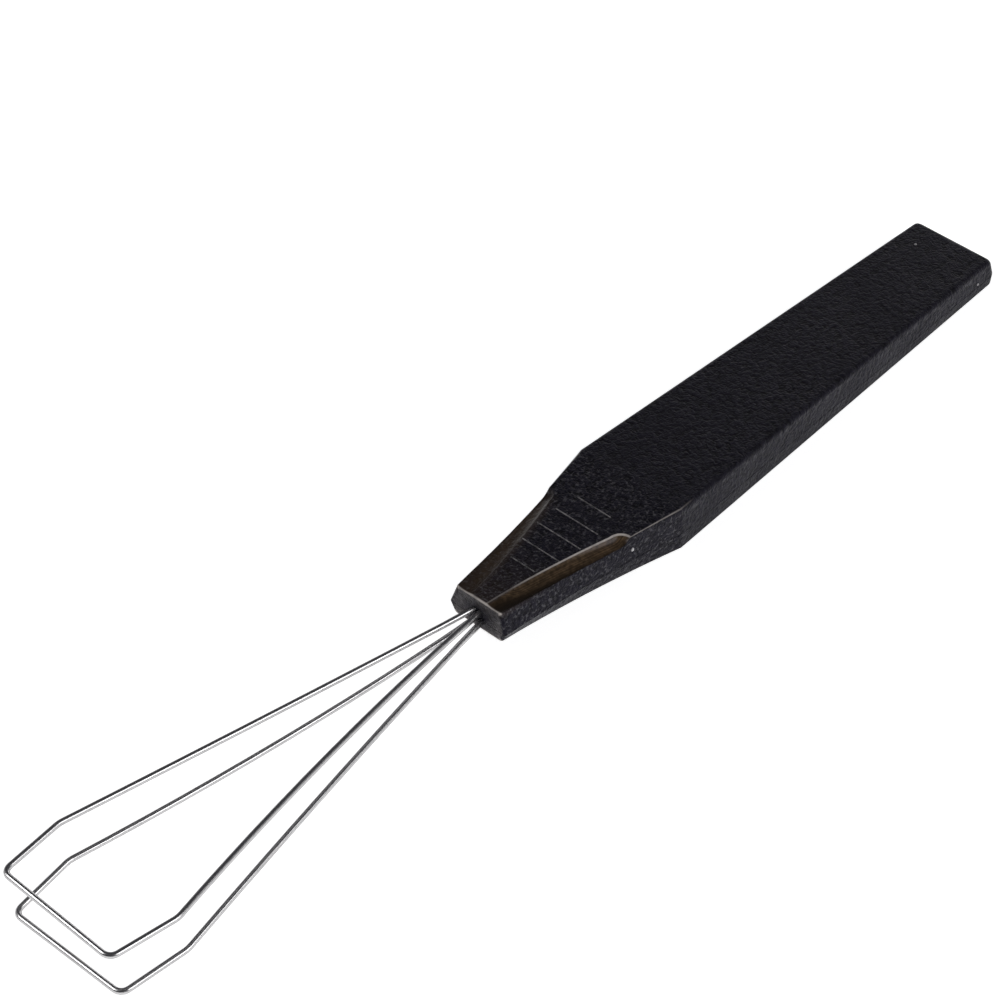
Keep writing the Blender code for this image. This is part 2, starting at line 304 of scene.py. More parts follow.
def grained_plastic(name, colours, gloss):
    """Black plastic: leather grain with painted shade in it, smooth scoops with a painted brown reflection
    and painted highlights on the edges.

    The mesh carries these masks:
    scoop, the gouges' surface; sheen, the painted brown reflection on their inner slopes; rim and
    rim_distance, the painted highlight line round them, and its distance in millimetres; dull, the far rim;
    tint, more painted brown reflection as a haze; rubbed, painted highlights on the edges; wall, the sides;
    brow, a row of coarse painted glints high on the sides; nose, the ramp before the shoulder.
    """
    build = MaterialBuild(name)
    scoop, sheen, dull, tint, wall, brow, nose = (
        build.attribute(key) for key in ("scoop", "sheen", "dull", "tint", "wall", "brow", "nose")
    )
    distance = build.attribute("rim_distance")
    # A crisp painted highlight line along the scoops' inner edges
    rim = build.attribute("rim") * build.span(distance * distance, 0.0, RIM_HALF_WIDTH_MM**2, 1.0, 0.0)
    rubbed = build.attribute("rubbed") + rim
    leather = (1 - scoop) * (1 - rubbed * 0.6)
    place = build.place()
    patches = build.noise(place, PATCH_SCALE, detail=3.0)

    # Relief: pebbles and wrinkles, with finer pits over both
    wrinkles = build.span(build.noise(place, WRINKLE_SCALE, detail=1.5, distortion=1.0), 0.3, 0.7)
    grain = (1 - build.pebbles(place, PEBBLE_SCALE)) * 0.5 + wrinkles * 0.5
    pits = build.span(build.noise(place, PIT_SCALE, detail=1.0), 0.35, 0.65)
    relief = build.bump((grain + pits * 0.18) * leather, 1.0, GRAIN_DEPTH)

    # Black: painted shade in the hollows and painted light on the crests, calmer in patches
    crest = build.ramp(grain + (pits * 0.12 - 0.06), ((0.28, 0.0), (0.66, 1.0)))
    shade = build.mix(crest, toned(colours.plastic, 0.3), toned(colours.plastic, 1.75))
    calm = build.mix(build.span(patches, 0.3, 0.7, 0.0, 0.35), shade, colours.plastic)

    # Scoops: dark brown floors from a dim copy of the painted reflection colour, with the painted brown
    # reflection in streaks along their inner slopes
    scooped = build.mix(scoop, calm, toned(colours.scoop, 0.12))
    along = build.node("ShaderNodeCombineXYZ", values={"X": sheen * 12, "Y": patches * 1.4})
    streaks = build.span(build.noise(along, 1.0), 0.36, 0.64, 0.35, 1.35)
    mottle = build.span(build.noise(place, MOTTLE_SCALE, detail=1.5), 0.36, 0.66, 0.6, 1.5)
    brown = build.mix(sheen * (streaks * mottle) + tint, scooped, colours.scoop)

    # Painted glints as pale specks on the grain, and painted highlights along the edges, broken up by a noise
    specks = build.ramp(build.noise(place, SPECK_SCALE, detail=1.5), ((0.56, 0.0), (0.68, 1.0)))
    flecks = build.ramp(build.noise(place, FLECK_SCALE, detail=1.5), ((0.5, 0.0), (0.66, 1.0)))
    glint_share = (specks * (0.008 + nose * 0.085 + wall * 0.02) + flecks * brow * 0.06) * leather
    with_glints = build.mix(glint_share, brown, colours.glint)
    broken_highlight = rubbed * build.span(build.noise(place, HIGHLIGHT_BREAK_SCALE), 0.3, 0.6, 0.5, 1.0)

    return build.finish(
        Base_Color=build.mix(broken_highlight, with_glints, colours.rubbed),
        Roughness=build.span(patches, 0.3, 0.7, 0.36, 0.48) - scoop * 0.1 - nose * 0.06 + dull * 0.4,
        Specular_IOR_Level=gloss, Specular_Tint=(0.85, 0.82, 1, 1),
        Coat_Weight=scoop * (1 - dull) * 0.12, Coat_Roughness=0.2, Normal=relief,
    )


def highlight_patched_plastic(name, dark, pale):
    """Plastic with pale patches as painted highlights, for the fine ribs and the moulding pips."""
    build = MaterialBuild(name)
    highlight_marks = build.noise(build.place(), RIB_HIGHLIGHT_SCALE)
    base = build.mix(build.span(highlight_marks, 0.35, 0.65), dark, pale)
    return build.finish(Base_Color=base, Roughness=0.42, Normal=build.bump(highlight_marks, 0.3, 0.03 * MM))


def drawn_steel(colours):
    """Bright spring wire with faint drawing lines and slightly duller patches."""
    build = MaterialBuild("drawn_spring_steel")
    lines = build.noise(build.place(scale=(0.04, 1.0, 1.0)), WIRE_LINE_SCALE, detail=1.0)
    patches = build.noise(build.place(), WIRE_PATCH_SCALE)
    base = build.mix(build.span(patches, 0.35, 0.75, 0.0, 0.5), colours.steel, toned(colours.steel, 0.72))
    return build.finish(
        Base_Color=base, Metallic=1.0, Specular_Tint=(0.42, 0.41, 0.41, 1),
        Roughness=build.span(patches, 0.3, 0.7, 0.19, 0.28) + lines * 0.05,
        Normal=build.bump(lines, 0.03, 0.004 * MM),
    )


def studio_paper(name, colours, glow):
    """Pale matt paper that glows a little, with a faint cloud in its colour."""
    build = MaterialBuild(name)
    cloud = build.span(build.noise(build.place(), 3, detail=1.0), 0.3, 0.7)
    base = build.mix(cloud, colours.floor, toned(colours.floor, 0.99))
    return build.finish(Base_Color=base, Roughness=0.9, Emission_Color=(1, 1, 1, 1), Emission_Strength=glow)


# ---------------------------------------------------------------- handle


def lerp(start, end, t):
    return start + (end - start) * t


def fade(value, start, end):
    """0 up to start, 1 from end on, and straight between them."""
    return np.clip((value - start) / (end - start), 0, 1)


def peak(value, centre, reach):
    """1 where the value is at centre, falling smoothly to about a third of that at reach."""
    return np.exp(-(((value - centre) / reach) ** 2))


def tool_axis(sizes):
    """The matrix from the tool's own axis, mouth at its origin, to the frame's rest position."""
    shoulder, butt = sizes.underside_heights[1:]
    tilt = math.atan2(butt - shoulder, sizes.handle_length - sizes.nose_length)
    lift = sizes.nose_length * math.sin(tilt) - shoulder * math.cos(tilt)
    wires = bpy.context.scene.puller_wires
    middle = (sizes.handle_length - wires.bar_reach - wires.diameter / 2) / 2
    return Matrix.Translation((-middle, 0, lift)) @ Matrix.Rotation(tilt, 4, "Y")


def profile_of(x, sizes, front, shoulder, butt):
    """A size that runs straight from the front to the shoulder and on to the butt."""
    on_nose = lerp(front, shoulder, x / sizes.nose_length)
    behind = lerp(shoulder, butt, (x - sizes.nose_length) / (sizes.handle_length - sizes.nose_length))
    return np.where(x < sizes.nose_length, on_nose, behind)


def rounding(distance, radius):
    """How far a surface is set in at a distance from an end that is rounded to a radius."""
    reach = np.clip(radius - distance, 0, radius)
    return radius - np.sqrt(radius**2 - reach**2)


def seam_level(sizes, side):
    """How far a half's flat face is from the tool's axis, counted towards that half's own face."""
    return side * sizes.seam_height + sizes.seam_gap / 2


def face_half_width(x, sizes):
    """Half the width of the top face at x."""
    t = np.clip(x / sizes.nose_length, 0, 1)
    width = profile_of(x, sizes, sizes.front_half_width, sizes.shoulder_half_width, sizes.butt_half_width)
    return width - 4 * sizes.nose_side_sag * t * (1 - t)


def face_height(x, sizes, side):
    """Height of the top face, or of the lower one, at x."""
    heights = sizes.top_heights if side > 0 else sizes.underside_heights
    return profile_of(x, sizes, *heights)


# Distances between two stations along the handle
NOSE_STEP, SHOULDER_STEP, BODY_STEP = 0.15 * MM, 0.1 * MM, 0.7 * MM


def handle_stations(sizes):
    """Distances from the front: close together on the nose and round both ends."""
    quarter = 1 - np.cos(np.linspace(0, math.pi / 2, 9))
    front = np.sort(np.concatenate((sizes.front_radius * quarter, sizes.front_corner * quarter)))
    nose = np.arange(front[-1], sizes.nose_length - 0.5 * MM, NOSE_STEP)
    shoulder = np.arange(nose[-1], sizes.nose_length + 1.2 * MM, SHOULDER_STEP)
    body = np.arange(shoulder[-1], sizes.handle_length - sizes.butt_corner, BODY_STEP)
    butt = sizes.handle_length - sizes.butt_corner * (1 - np.sin(np.linspace(0, math.pi / 2, 12)))
    return np.unique(np.round(np.concatenate((front, nose, shoulder, body, butt)), 7))


def gouge_at(x, scoops):
    """The gouge's radius, depth and sideways offset at x; it is widest and shallowest at the front."""
    t = 1 - fade(x, scoops.front_reach, scoops.rear_reach)
    return (
        lerp(scoops.rear_radius, scoops.front_radius, t),
        lerp(scoops.rear_depth, scoops.front_depth, t),
        lerp(scoops.rear_offset, scoops.front_offset, t),
    )


def scoop_floor(x, y, sizes, scoops):
    """Height, away from the seam, of the gouge's surface at x and y; far above where it doesn't reach."""
    radius, depth, offset = gouge_at(x, scoops)
    past_end = max(x - scoops.rear_reach, 0.0)
    centre = face_height(min(x, scoops.rear_reach), sizes, 1) + radius - depth
    chord = radius**2 - (y - offset) ** 2 - past_end**2
    return np.where(chord > 0, centre - np.sqrt(np.clip(chord, 0, None)), centre)


def scoop_position(x, y, scoops):
    """Where y lies across the gouge, from -1 at its inner edge to 1, and its distance from the edge."""
    radius, depth, offset = gouge_at(x, scoops)
    half_width = math.sqrt(2 * radius * depth - depth**2)
    past_end = max(x - scoops.rear_reach, 0.0)
    return (y - offset) / half_width, np.hypot(y - offset, past_end) - half_width


# Points on one side of a section: across the face, round its edge and down the wall
FACE_COUNT, ARC_COUNT, WALL_COUNT = 44, 9, 22

# Where the edge radius grows from the nose's to the body's, as shares of the nose's length
GROWTH_START, GROWTH_END = 0.72, 1.06


def half_section(x, sizes, side):
    """One side of a section: across the face, round the edge and down the drafted wall to the seam."""
    butt_radius = sizes.butt_radius if side > 0 else sizes.lower_butt_radius
    height = side * face_height(x, sizes, side) - rounding(sizes.handle_length - x, butt_radius)
    height = height - rounding(x, sizes.front_radius)
    inset = rounding(x, sizes.front_corner) + rounding(sizes.handle_length - x, sizes.butt_corner)
    flare = 0.0 if side > 0 else sizes.lower_flare
    width = face_half_width(x, sizes) + flare - inset
    draft = lerp(sizes.front_draft, sizes.body_draft, min(x / sizes.nose_length, 1.0)) - flare
    opened = fade(x, GROWTH_START * sizes.nose_length, GROWTH_END * sizes.nose_length)
    body_radius = sizes.edge_radius if side > 0 else sizes.lower_edge_radius
    radius = lerp(min(sizes.nose_edge_radius, body_radius), body_radius, opened * opened * (3 - 2 * opened))
    seam = seam_level(sizes, side)
    wall = np.array((draft, seam - height))
    wall = wall / np.linalg.norm(wall)
    turn = math.acos(np.clip(wall[0], -1, 1))
    trim = radius * math.tan(turn / 2)
    face = np.linspace(0, 1, FACE_COUNT)[:, None] * np.array((width - trim, 0)) + np.array((0, height))
    angles = np.linspace(0, turn, ARC_COUNT + 2)[1:-1, None]
    centre = np.array((width - trim, height - radius))
    arc = centre + radius * np.concatenate((np.sin(angles), np.cos(angles)), axis=1)
    start = np.array((width, height)) + wall * trim
    end = np.array((width + draft, seam))
    down = start + np.linspace(0, 1, WALL_COUNT)[:, None] * (end - start)
    return np.concatenate((face, arc, down))


LEAN_REACH = 3 * MM
LOWER_FACE_LEAN = 0.75


def end_lean(x, share, sizes, side):
    """How far both ends lean out along X, where share runs from 0 at the face to 1 at the seam."""
    at_front = (1 - fade(x, 0, LEAN_REACH)) ** 2
    at_butt = (1 - fade(sizes.handle_length - x, 0, LEAN_REACH)) ** 2
    lean = lerp(0.0 if side > 0 else LOWER_FACE_LEAN, 1.0, share)
    return (at_butt * sizes.butt_end_draft - at_front * sizes.nose_end_draft) * lean


def smooth_lower(first, second, softness):
    """The lower of two heights, with the corner between them rounded."""
    blend = np.clip(0.5 + 0.5 * (second - first) / softness, 0, 1)
    return lerp(second, first, blend) - softness * blend * (1 - blend)


def section_masks(x, y, height, floor, sizes, scoops, side):
    """Where each finish shows on a section, as pairs of values for the near and the far side."""
    upper = float(side > 0)
    below = height.max() - height
    nose, rear = sizes.nose_length, scoops.rear_reach
    across, from_edge = scoop_position(x, y, scoops)
    in_scoop = fade(height - floor, 0, 0.08 * MM)
    wall = fade(below, 0.3 * MM, 0.8 * MM)
    # Painted brown reflection on the scoops' inner slopes, weaker towards the front; the far scoop gets a
    # smaller share, away from its edge
    sheen = in_scoop * np.clip(0.2 - 0.85 * across, 0, 1) * np.clip(x / (4 * MM), 0.35, 1)
    far_reflection_share = 0.32 * fade(-from_edge, 0, 0.9 * MM)
    on_face = 1 - fade(below, 0, 0.2 * MM)
    # Where the painted highlight line runs round the scoops on the top face; only the near side gets it, the
    # far side uses it for roughness
    rim = np.where(across < 0, 1.0, 0.8) * np.clip(x / (9 * MM), 0.3, 1.0) * upper * on_face
    dull = rim * peak(from_edge, 0, 0.09 * MM)
    # Painted highlights along the front's edge at each face, and along the nose's long edges between the
    # scoops and the shoulder
    front_edge = peak(x, 0.04 * MM, 0.1 * MM) * (below < 0.3 * MM)
    past_scoop = fade(x, rear + 1.2 * MM, rear + 2.2 * MM) * (1 - fade(x, nose - 1.5 * MM, nose + 2.5 * MM))
    side_edge = 0.9 * past_scoop * peak(below, 0.12 * MM, 0.0424 * MM)
    highlight_marks = np.maximum(front_edge, side_edge)
    # Painted brown reflection on the top of the nose near its front, and as a haze just outside the far
    # scoop's edge
    tint = 0.16 * (1 - in_scoop) * (1 - wall) * (1 - fade(x, 0, 10 * MM)) * upper
    far_brown_reflection = 0.2 * peak(np.clip(from_edge, 0, None), 0, 0.6 * MM) * (1 - 0.5 * wall) * upper
    far_brown_reflection = far_brown_reflection * (1 - fade(x, rear - 1.5 * MM, rear + 1.5 * MM))
    # Where coarse painted glints show, high on the walls behind the shoulder
    brow = peak(below, 0.85 * MM, 0.4 * MM) * fade(x, nose - MM, nose + MM) * upper
    ramp = np.full_like(y, 1 - fade(x, nose - 1.25 * MM, nose + 1.25 * MM))
    return {
        "scoop": (in_scoop, in_scoop * 0.5),
        "sheen": (sheen, sheen * far_reflection_share),
        "tint": (tint, np.maximum(tint, far_brown_reflection)),
        "dull": (dull * 0, dull),
        "wall": (wall, wall),
        "rim": (rim, rim * 0),
        "rim_distance": (from_edge / MM, from_edge / MM),
        "rubbed": (highlight_marks, highlight_marks),
        "brow": (brow, brow),
        "nose": (ramp, ramp),
    }


def handle_half(name, sizes, scoops, side):
    """A closed half of the handle: a dense skin, the flat at the seam and two end caps."""
    rows = []
    masks = {}
    seam = seam_level(sizes, side)
    for x in handle_stations(sizes):
        y, height = half_section(x, sizes, side).T
        floor = scoop_floor(x, y, sizes, scoops) if side > 0 else height + MM
        cut = np.maximum(smooth_lower(height, floor, scoops.edge_softness), seam)
        share = np.clip((height.max() - cut) / (height.max() - seam), 0, 1)
        half = np.stack((x + end_lean(x, share, sizes, side), y, side * cut), axis=1)
        rows.append(np.concatenate((half[:0:-1] * np.array((1, -1, 1)), half)))
        for key, (near, far) in section_masks(x, y, height, floor, sizes, scoops, side).items():
            masks.setdefault(key, []).append(np.concatenate((near[:0:-1], far)))
    add_face_rim(rows, masks, side * seam)
    points = np.array(rows)
    mesh = closed_grid(name, points.reshape(-1, 3), len(rows), points.shape[1])
    for key, values in masks.items():
        attribute = mesh.attributes.new(key, "FLOAT", "POINT")
        attribute.data.foreach_set("value", np.concatenate(values).astype(np.float32))
    return mesh


FACE_RIM_SHARE = 0.94
FACE_RIM_HIGHLIGHT = 0.13


def add_face_rim(rows, masks, seam_height):
    """Puts a slightly smaller outline inside each end, so that a painted highlight on an edge stays at the
    edge; the front face also gets a faint painted highlight all over.
    """
    for end in (0, -1):
        spot = 0 if end == 0 else len(rows)
        centre = np.array((rows[end][0, 0], 0.0, seam_height))
        shrink = np.array((1.0, FACE_RIM_SHARE, FACE_RIM_SHARE))
        rows.insert(spot, centre + (rows[end] - centre) * shrink)
        for key, values in masks.items():
            kept = values[end] * (key in ("nose", "wall", "rim_distance"))
            values.insert(spot, kept + FACE_RIM_HIGHLIGHT * (key == "rubbed" and end == 0))


def closed_grid(name, points, row_count, row_length):
    """A mesh from rows of points: the skin, a flat between the row ends, and a cap at each end."""
    index = np.arange(row_count * row_length).reshape(row_count, row_length)
    skin = np.stack((index[:-1, :-1], index[1:, :-1], index[1:, 1:], index[:-1, 1:]), axis=-1)
    skin = skin.reshape(-1, 4)
    flat = np.stack((index[:-1, -1], index[1:, -1], index[1:, 0], index[:-1, 0]), axis=-1)
    faces = [tuple(face) for face in np.concatenate((skin, flat)).tolist()]
    faces.append(tuple(index[0].tolist()))
    faces.append(tuple(index[-1][::-1].tolist()))
    mesh = bpy.data.meshes.new(name)
    mesh.from_pydata(points.tolist(), [], faces)
    mesh.update()
    work = bmesh.new()
    work.from_mesh(mesh)
    bmesh.ops.recalc_face_normals(work, faces=work.faces)
    work.to_mesh(mesh)
    work.free()
    return mesh


MOUTH_CLEARANCE = 0.02 * MM
MOUTH_DEPTH = 1.5 * MM
CUTTER_START = -0.5 * MM


def mouth_cutter(sizes, wires):
    """Four round holes that fit closely round the wires where they leave the nose."""
    radius = wires.diameter / 2 + MOUTH_CLEARANCE
    work = bmesh.new()
    for body in ("upper_loop", "lower_loop"):
        leave = mouth_point(body, sizes)
        for side in (1, -1):
            middle = Vector(((CUTTER_START + MOUTH_DEPTH) / 2, leave.y + side * wires.leg_spread, leave.z))
            bmesh.ops.create_cone(
                work, cap_ends=True, segments=32, radius1=radius, radius2=radius,
                depth=MOUTH_DEPTH - CUTTER_START,
                matrix=Matrix.Translation(middle) @ Matrix.Rotation(math.pi / 2, 4, "Y"),
            )
    mesh = bpy.data.meshes.new("mouth_cutter")
    work.to_mesh(mesh)
    work.free()
    return new_object("mouth_cutter", mesh)


def mouth_point(body, sizes):
    """Where a loop leaves the nose, in the tool's own axes."""
    return tool_axis(sizes).inverted() @ Vector(JOINTS[body]["pos_m"])


def new_object(name, data):
    """Links a new object with its data to the scene."""
    item = bpy.data.objects.new(name, data)
    bpy.context.scene.collection.objects.link(item)
    return item


def baked_mesh(item, name):
    """The object's evaluated mesh; the object and its modifiers are removed."""
    bpy.context.view_layer.update()
    mesh = bpy.data.meshes.new_from_object(item.evaluated_get(bpy.context.evaluated_depsgraph_get()))
    bpy.data.objects.remove(item, do_unlink=True)
    mesh.name = name
    return mesh


def finish_piece(name, mesh, material, place, sharp_angle=40):
    """The final object: place in the mesh, smooth shading with true corners left sharp."""
    mesh.transform(place)
    mesh.materials.clear()
    mesh.materials.append(material)
    mesh.shade_smooth()
    mesh.set_sharp_from_angle(angle=math.radians(sharp_angle))
    return new_object(name, mesh)


class PULLER_OT_handle(bpy.types.Operator):
    """Builds the two moulded halves of the handle"""

    bl_idname = "puller.handle"
    bl_label = "Handle Halves"

    def execute(self, context):
        scene = context.scene
        sizes, scoops = scene.puller_handle, scene.puller_scoops
        cutter = mouth_cutter(sizes, scene.puller_wires)
        for name, side, node, gloss in (
            ("handle_upper_shell", 1, "handle_upper_half", 0.09),
            ("handle_lower_shell", -1, "handle_lower_half", 0.055),
        ):
            material = grained_plastic(name + "_plastic", scene.puller_colours, gloss)
            rough = new_object(name + "_blank", handle_half(name, sizes, scoops, side))
            slot = rough.modifiers.new("mouth", "BOOLEAN")
            slot.operation = "DIFFERENCE"
            slot.solver = "EXACT"
            slot.object = cutter
            piece = finish_piece(name, baked_mesh(rough, name), material, tool_axis(sizes))
            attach(piece, "handle")
            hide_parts(node)
        bpy.data.objects.remove(cutter, do_unlink=True)
        return {"FINISHED"}


# ---------------------------------------------------------------- ribs


def node_group(name, inputs):
    """An empty geometry node group with named inputs; returns it with its input and output nodes."""
    group = bpy.data.node_groups.new(name, "GeometryNodeTree")
    for label, kind in inputs:
        group.interface.new_socket(label, in_out="INPUT", socket_type=kind)
    group.interface.new_socket("Geometry", in_out="OUTPUT", socket_type="NodeSocketGeometry")
    return group, group.nodes.new("NodeGroupInput"), group.nodes.new("NodeGroupOutput")


def add_node(group, kind, settings=None, values=None):
    """Adds a node; a value is a constant or another node's output socket."""
    node = group.nodes.new(kind)
    for name, value in (settings or {}).items():
        setattr(node, name, value)
    for name, value in (values or {}).items():
        if isinstance(value, bpy.types.NodeSocket):
            group.links.new(value, node.inputs[name])
        else:
            node.inputs[name].default_value = value
    return node


def end_tree(group, made, material, result):
    """Ends a tree: real geometry in place of instances, and its material."""
    real = add_node(group, "GeometryNodeRealizeInstances", values={"Geometry": made.outputs[0]})
    painted = add_node(
        group, "GeometryNodeSetMaterial", values={"Geometry": real.outputs[0], "Material": material}
    )
    group.links.new(painted.outputs[0], result.inputs[0])
    return group


def grown_piece(mesh, tree, values, place):
    """The final object that a geometry node tree grows from a mesh, named after the mesh."""
    name = mesh.name
    source = new_object(name + "_source", mesh)
    modifier = source.modifiers.new("grown", "NODES")
    modifier.node_group = tree
    for item in tree.interface.items_tree:
        if item.item_type == "SOCKET" and item.in_out == "INPUT" and item.name in values:
            modifier[item.identifier] = values[item.name]
    return finish_piece(name, baked_mesh(source, name), values["Material"], place)


RIB_LONGEST_PLACE = 0.58
RIB_SHORTENING = 1.35


def rib_tree():
    """Ribs in a row along X: each is a round bar, and the longest are near the middle of the row."""
    group, source, result = node_group(
        "rib_row",
        (
            ("Count", "NodeSocketInt"), ("First", "NodeSocketFloat"), ("Spacing", "NodeSocketFloat"),
            ("Width", "NodeSocketFloat"), ("Height", "NodeSocketFloat"), ("Longest", "NodeSocketFloat"),
            ("Base", "NodeSocketFloat"), ("Slope", "NodeSocketFloat"), ("Material", "NodeSocketMaterial"),
        ),
    )
    given = source.outputs
    index = add_node(group, "GeometryNodeInputIndex").outputs[0]

    def maths(operation, first, second=0.0, third=0.0):
        values = {0: first, 1: second, 2: third}
        return add_node(group, "ShaderNodeMath", {"operation": operation}, values).outputs[0]

    along = maths("MULTIPLY_ADD", index, given["Spacing"], given["First"])
    up = maths("MULTIPLY_ADD", along, given["Slope"], given["Base"])
    spot = add_node(group, "ShaderNodeCombineXYZ", values={"X": along, "Z": up}).outputs[0]
    points = add_node(group, "GeometryNodePoints", values={"Count": given["Count"], "Position": spot})
    last = maths("SUBTRACT", given["Count"], 1.0)
    from_longest = maths("SUBTRACT", maths("DIVIDE", index, last), RIB_LONGEST_PLACE)
    fall = maths("MULTIPLY", maths("MULTIPLY", from_longest, from_longest), RIB_SHORTENING)
    half_length = maths("MULTIPLY", given["Longest"], maths("SUBTRACT", 1.0, fall))
    bar = add_node(
        group, "GeometryNodeMeshCylinder",
        values={"Vertices": 12, "Side Segments": 24, "Radius": 0.5, "Depth": 2.0},
    )
    across = add_node(
        group, "GeometryNodeTransform",
        values={"Geometry": bar.outputs["Mesh"], "Rotation": (math.pi / 2, 0.0, 0.0)},
    )
    size = add_node(
        group, "ShaderNodeCombineXYZ",
        values={"X": given["Width"], "Y": half_length, "Z": maths("MULTIPLY", given["Height"], 2.0)},
    ).outputs[0]
    ribs = add_node(
        group, "GeometryNodeInstanceOnPoints",
        values={"Points": points.outputs[0], "Instance": across.outputs["Geometry"], "Scale": size},
    )
    return end_tree(group, ribs, given["Material"], result)


class PULLER_OT_ribs(bpy.types.Operator):
    """Builds the fine cross ribs on both faces of the nose"""

    bl_idname = "puller.ribs"
    bl_label = "Nose Ribs"

    def execute(self, context):
        scene = context.scene
        sizes, ribs = scene.puller_handle, scene.puller_ribs
        # The ribs' pale patches are painted highlights on their rounded tops
        material = highlight_patched_plastic("rubbed_rib_plastic", dark=(0.014, 0.0135, 0.015), pale=(0.2, 0.19, 0.195))
        tree = rib_tree()
        for name, heights in (("ribs_above", sizes.top_heights), ("ribs_below", sizes.underside_heights)):
            values = {
                "Count": ribs.count, "First": ribs.first, "Spacing": ribs.spacing, "Width": ribs.width,
                "Height": ribs.height, "Longest": ribs.longest, "Base": heights[0],
                "Slope": (heights[1] - heights[0]) / sizes.nose_length, "Material": material,
            }
            piece = grown_piece(bpy.data.meshes.new(name), tree, values, tool_axis(sizes))
            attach(piece, "handle")
        return {"FINISHED"}


# ---------------------------------------------------------------- pips


def pip_tree():
    """Small low domes left by the mould, one on each point, facing its outward way, sized by its share."""
    group, source, result = node_group(
        "mould_pips",
        (
            ("Points", "NodeSocketGeometry"), ("Radius", "NodeSocketFloat"), ("Height", "NodeSocketFloat"),
            ("Material", "NodeSocketMaterial"),
        ),
    )
    given = source.outputs
    outward = add_node(
        group, "GeometryNodeInputNamedAttribute", {"data_type": "FLOAT_VECTOR"}, {"Name": "outward"}
    )
    turn = add_node(
        group, "FunctionNodeAlignRotationToVector", {"axis": "Z"}, {"Vector": outward.outputs["Attribute"]}
    )
    share = add_node(group, "GeometryNodeInputNamedAttribute", {"data_type": "FLOAT"}, {"Name": "share"})
    dome = add_node(group, "GeometryNodeMeshUVSphere", values={"Segments": 16, "Rings": 10, "Radius": 1.0})
    sizing = {0: given["Radius"], 1: share.outputs["Attribute"]}
    radius = add_node(group, "ShaderNodeMath", {"operation": "MULTIPLY"}, sizing).outputs[0]
    size = add_node(group, "ShaderNodeCombineXYZ", values={"X": radius, "Y": radius, "Z": given["Height"]})
    pips = add_node(
        group, "GeometryNodeInstanceOnPoints",
        values={
            "Points": given["Points"], "Instance": dome.outputs[0], "Rotation": turn.outputs[0],
            "Scale": size.outputs[0],
        },
    )
    return end_tree(group, pips, given["Material"], result)


def wall_point(x, height, side, sizes):
    """A point on the upper half's drafted side wall, and the way it faces."""
    top = float(face_height(x, sizes, 1))
    draft = lerp(sizes.front_draft, sizes.body_draft, min(x / sizes.nose_length, 1.0))
    share = (top - height) / (top - sizes.seam_height)
    width = float(face_half_width(x, sizes)) + draft * share
    return (x, side * width, height), (0.0, side, draft / (top - sizes.seam_height))


# Places of the pips: distance from the front, then height on the side, or offset across the top
NOSE_PIP = (18.3 * MM, 0.75 * MM)
BUTT_SIDE_PIP = (82.6 * MM, -0.2 * MM)
BUTT_TOP_PIP = (81.65 * MM, 2.9 * MM)


class PULLER_OT_pips(bpy.types.Operator):
    """Builds the small moulding pips on the sides of the handle and by its butt"""

    bl_idname = "puller.pips"
    bl_label = "Moulding Pips"

    def execute(self, context):
        scene = context.scene
        sizes, pips = scene.puller_handle, scene.puller_pips
        # The pips are pale all over with paler patches, as painted glints
        material = highlight_patched_plastic("pale_pip_plastic", dark=(0.16, 0.155, 0.16), pale=(0.42, 0.41, 0.42))
        spots = [(*wall_point(*NOSE_PIP, side, sizes), 1.0) for side in (-1, 1)]
        spots += [(*wall_point(*BUTT_SIDE_PIP, side, sizes), pips.butt_share) for side in (-1, 1)]
        top = float(face_height(BUTT_TOP_PIP[0], sizes, 1))
        spots.append(((*BUTT_TOP_PIP, top), (0.0, 0.0, 1.0), pips.butt_share))
        places, ways, shares = zip(*spots)
        mesh = bpy.data.meshes.new("mould_pips")
        mesh.from_pydata(places, [], [])
        outward = mesh.attributes.new("outward", "FLOAT_VECTOR", "POINT")
        outward.data.foreach_set("vector", [value for way in ways for value in way])
        mesh.attributes.new("share", "FLOAT", "POINT").data.foreach_set("value", shares)
        values = {"Radius": pips.radius, "Height": pips.height, "Material": material}
        piece = grown_piece(mesh, pip_tree(), values, tool_axis(sizes))
        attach(piece, "handle")
        return {"FINISHED"}


# ---------------------------------------------------------------- wires


def wire_tree():
    """A wire: the path's corners rounded to their own radii, then swept with a round section."""
    group, source, result = node_group(
        "bent_wire",
        (
            ("Path", "NodeSocketGeometry"), ("Diameter", "NodeSocketFloat"),
            ("Material", "NodeSocketMaterial"),
        ),
    )
    given = source.outputs
    radius = add_node(group, "GeometryNodeInputNamedAttribute", {"data_type": "FLOAT"}, {"Name": "bend"})
    path = add_node(group, "GeometryNodeMeshToCurve", values={"Mesh": given["Path"]})
    bent = add_node(
        group, "GeometryNodeFilletCurve", {"mode": "POLY"},
        {"Curve": path.outputs[0], "Radius": radius.outputs["Attribute"], "Count": 10},
    )
    even = add_node(
        group, "GeometryNodeResampleCurve", {"mode": "LENGTH"}, {"Curve": bent.outputs[0], "Length": 0.3 * MM}
    )
    half = add_node(group, "ShaderNodeMath", {"operation": "MULTIPLY"}, {0: given["Diameter"], 1: 0.5})
    ring = add_node(group, "GeometryNodeCurvePrimitiveCircle", {"mode": "RADIUS"}, {"Resolution": 20})
    group.links.new(half.outputs[0], ring.inputs["Radius"])
    tube = add_node(
        group, "GeometryNodeCurveToMesh",
        values={"Curve": even.outputs[0], "Profile Curve": ring.outputs[0], "Fill Caps": True},
    )
    return end_tree(group, tube, given["Material"], result)


